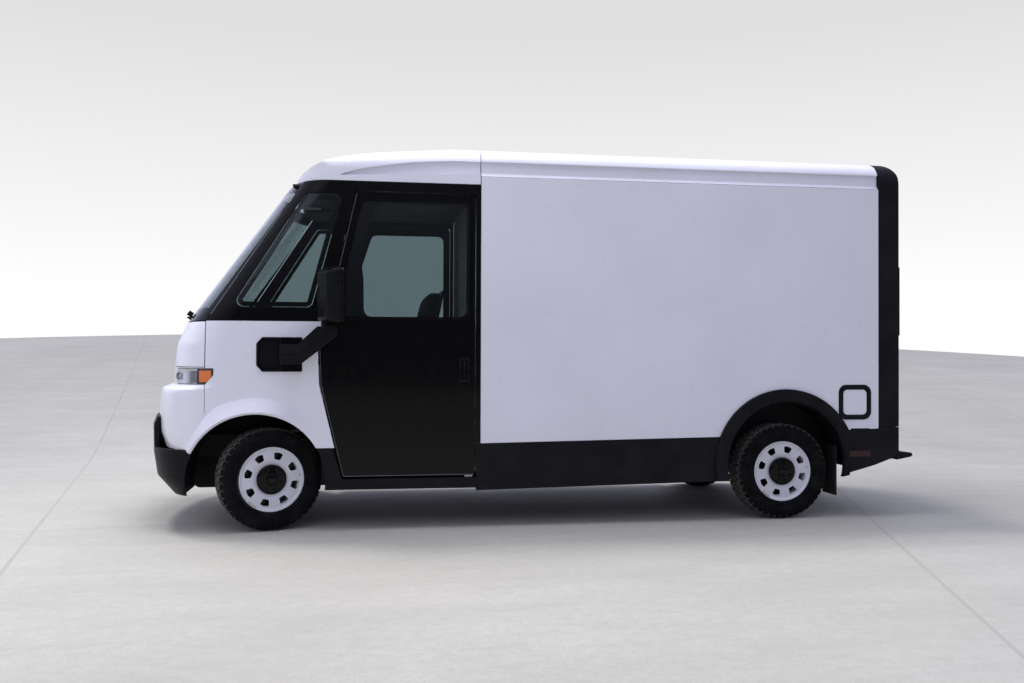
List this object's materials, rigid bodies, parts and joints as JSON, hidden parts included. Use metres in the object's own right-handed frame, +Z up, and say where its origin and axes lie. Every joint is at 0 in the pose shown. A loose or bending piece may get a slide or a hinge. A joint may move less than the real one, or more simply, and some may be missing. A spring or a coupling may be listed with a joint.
{
  "type": "mail delivery truck",
  "caption": "Walk-in electric step van for mail and parcels, with sliding cab doors, a boxy cargo body, swing rear doors and a charging hatch",
  "frame": {"origin": "on the ground, at the centre of the box round the whole truck", "axes": "+X to the rear (the truck faces -X), +Y to the right-hand side of the truck, +Z up"},
  "size_m": [5.8698, 2.6598, 2.808],
  "materials": {
    "body_white": "gloss",
    "trim_black": "satin",
    "gloss_black": "gloss",
    "glazing": "tinted",
    "lamp_clear": "clear",
    "lamp_red": "red lens",
    "tyre_rubber": "matte",
    "wheel_silver": "satin",
    "chassis_black": "satin",
    "battery_case": "satin",
    "floor_ply": "sealed",
    "cab_floor_alu": "tread plate",
    "liner_grey": "satin",
    "interior_grey": "grained",
    "seat_fabric": "woven",
    "flap_rubber": "matte",
    "latch_steel": "brushed",
    "hub_steel": "machined"
  },
  "bodies": {
    "body": {"ladder_frame": "chassis_black", "battery_pack": "battery_case", "cab_floor": "cab_floor_alu", "cargo_floor": "floor_ply", "suspension_arms": "chassis_black", "rear_axle": "chassis_black", "front_fascia": "body_white", "left_fender": "body_white", "right_fender": "body_white", "headlamps": "lamp_clear", "fender_grilles": "gloss_black", "front_bumper": "trim_black", "left_cab_frame": "gloss_black", "right_cab_frame": "gloss_black", "cab_glazing": "glazing", "cab_roof": "body_white", "cargo_roof": "body_white", "left_side_panel": "body_white", "right_side_panel": "body_white", "side_liners": "liner_grey", "bulkhead": "liner_grey", "charge_bezel": "trim_black", "rear_frame": "trim_black", "rear_bumper": "trim_black", "tail_lamps": "lamp_red", "left_rocker": "trim_black", "right_rocker": "trim_black", "wheel_housings": "trim_black", "mudflaps": "flap_rubber", "mirror_arms": "trim_black", "dashboard": "interior_grey", "seat_base": "chassis_black"},
    "hood": {"hood": "body_white"},
    "left_cab_door": {"left_door": "gloss_black", "left_door_glass": "glazing"},
    "right_cab_door": {"right_door": "gloss_black", "right_door_glass": "glazing"},
    "bulkhead_door": {"bulkhead_door": "liner_grey"},
    "left_rear_door": {"left_rear_door": "body_white"},
    "right_rear_door": {"right_rear_door": "body_white"},
    "rear_latch": {"rear_latch": "latch_steel"},
    "charge_hatch": {"charge_hatch": "body_white"},
    "left_knuckle": {"left_knuckle": "hub_steel"},
    "right_knuckle": {"right_knuckle": "hub_steel"},
    "front_left_wheel": {"front_left_tyre": "tyre_rubber", "front_left_wheel": "wheel_silver"},
    "front_right_wheel": {"front_right_tyre": "tyre_rubber", "front_right_wheel": "wheel_silver"},
    "rear_left_wheel": {"rear_left_tyre": "tyre_rubber", "rear_left_wheel": "wheel_silver"},
    "rear_right_wheel": {"rear_right_tyre": "tyre_rubber", "rear_right_wheel": "wheel_silver"},
    "steering_wheel": {"steering_wheel": "interior_grey"},
    "driver_seat": {"seat_frame": "chassis_black", "seat_cushion": "seat_fabric", "seat_back": "seat_fabric"},
    "left_mirror": {"left_mirror": "trim_black"},
    "right_mirror": {"right_mirror": "trim_black"},
    "left_wiper": {"left_wiper": "trim_black"},
    "right_wiper": {"right_wiper": "trim_black"}
  },
  "joints": [
    {"name": "left_steer", "type": "hinge", "parent": "body", "child": "left_knuckle", "pos_m": [-2.055, -0.745, 0.365], "axis": [0, 0, 1], "range_deg": [-50, 16]},
    {"name": "right_steer", "type": "hinge", "parent": "body", "child": "right_knuckle", "pos_m": [-2.055, 0.745, 0.365], "axis": [0, 0, 1], "range_deg": [-50, 16]},
    {"name": "front_left_spin", "type": "hinge", "parent": "left_knuckle", "child": "front_left_wheel", "pos_m": [-2.01845, -0.86454, 0.365], "axis": [-0.2924, 0.9563, 0], "continuous": true},
    {"name": "front_right_spin", "type": "hinge", "parent": "right_knuckle", "child": "front_right_wheel", "pos_m": [-2.09155, 0.86454, 0.365], "axis": [-0.2924, 0.9563, 0], "continuous": true},
    {"name": "rear_left_spin", "type": "hinge", "parent": "body", "child": "rear_left_wheel", "pos_m": [1.853, -0.888, 0.365], "axis": [0, 1, 0], "continuous": true},
    {"name": "rear_right_spin", "type": "hinge", "parent": "body", "child": "rear_right_wheel", "pos_m": [1.853, 0.888, 0.365], "axis": [0, 1, 0], "continuous": true},
    {"name": "steering_wheel_turn", "type": "hinge", "parent": "body", "child": "steering_wheel", "pos_m": [-1.8, -0.48, 1.285], "axis": [0.6, 0, 0.8], "range_deg": [-800, 256]},
    {"name": "left_door_slide", "type": "slide", "parent": "body", "child": "left_cab_door", "axis": [1, 0, 0], "range_m": [0, 1.05]},
    {"name": "right_door_slide", "type": "slide", "parent": "body", "child": "right_cab_door", "axis": [1, 0, 0], "range_m": [0, 1.05]},
    {"name": "bulkhead_door_slide", "type": "slide", "parent": "body", "child": "bulkhead_door", "axis": [0, 1, 0], "range_m": [0, 0.635]},
    {"name": "left_rear_door_swing", "type": "hinge", "parent": "body", "child": "left_rear_door", "pos_m": [2.812, -0.93, 1.6], "axis": [0, 0, -1], "range_deg": [0, 95]},
    {"name": "right_rear_door_swing", "type": "hinge", "parent": "body", "child": "right_rear_door", "pos_m": [2.812, 0.93, 1.6], "axis": [0, 0, 1], "range_deg": [0, 95]},
    {"name": "rear_latch_turn", "type": "hinge", "parent": "right_rear_door", "child": "rear_latch", "pos_m": [2.815, 0.037, 1.18], "axis": [1, 0, 0], "range_deg": [0, 90]},
    {"name": "charge_hatch_swing", "type": "hinge", "parent": "body", "child": "charge_hatch", "pos_m": [2.337, -1.037, 0.897], "axis": [0, 0, -1], "range_deg": [0, 100]},
    {"name": "hood_tilt", "type": "hinge", "parent": "body", "child": "hood", "pos_m": [-2.7865, 0, 1.165], "axis": [0, -1, 0], "range_deg": [0, 40]},
    {"name": "left_mirror_fold", "type": "hinge", "parent": "body", "child": "left_mirror", "pos_m": [-1.6, -1.165, 1.46], "axis": [0, 0, 1], "range_deg": [-60, 60]},
    {"name": "right_mirror_fold", "type": "hinge", "parent": "body", "child": "right_mirror", "pos_m": [-1.6, 1.165, 1.46], "axis": [0, 0, -1], "range_deg": [-60, 60]},
    {"name": "left_wiper_sweep", "type": "hinge", "parent": "body", "child": "left_wiper", "pos_m": [-2.599, -0.56, 1.54], "axis": [0.807, 0.0878, -0.584], "range_deg": [0, 95]},
    {"name": "right_wiper_sweep", "type": "hinge", "parent": "body", "child": "right_wiper", "pos_m": [-2.599, 0.56, 1.54], "axis": [-0.807, 0.0878, 0.584], "range_deg": [0, 95]},
    {"name": "seat_slide", "type": "slide", "parent": "body", "child": "driver_seat", "axis": [1, 0, 0], "range_m": [-0.1, 0.1]}
  ],
  "couplings": [
    {"joint": "right_steer", "follows": "left_steer", "ratio": 1},
    {"joint": "steering_wheel_turn", "follows": "left_steer", "ratio": 16},
    {"joint": "right_wiper_sweep", "follows": "left_wiper_sweep", "ratio": 1}
  ]
}
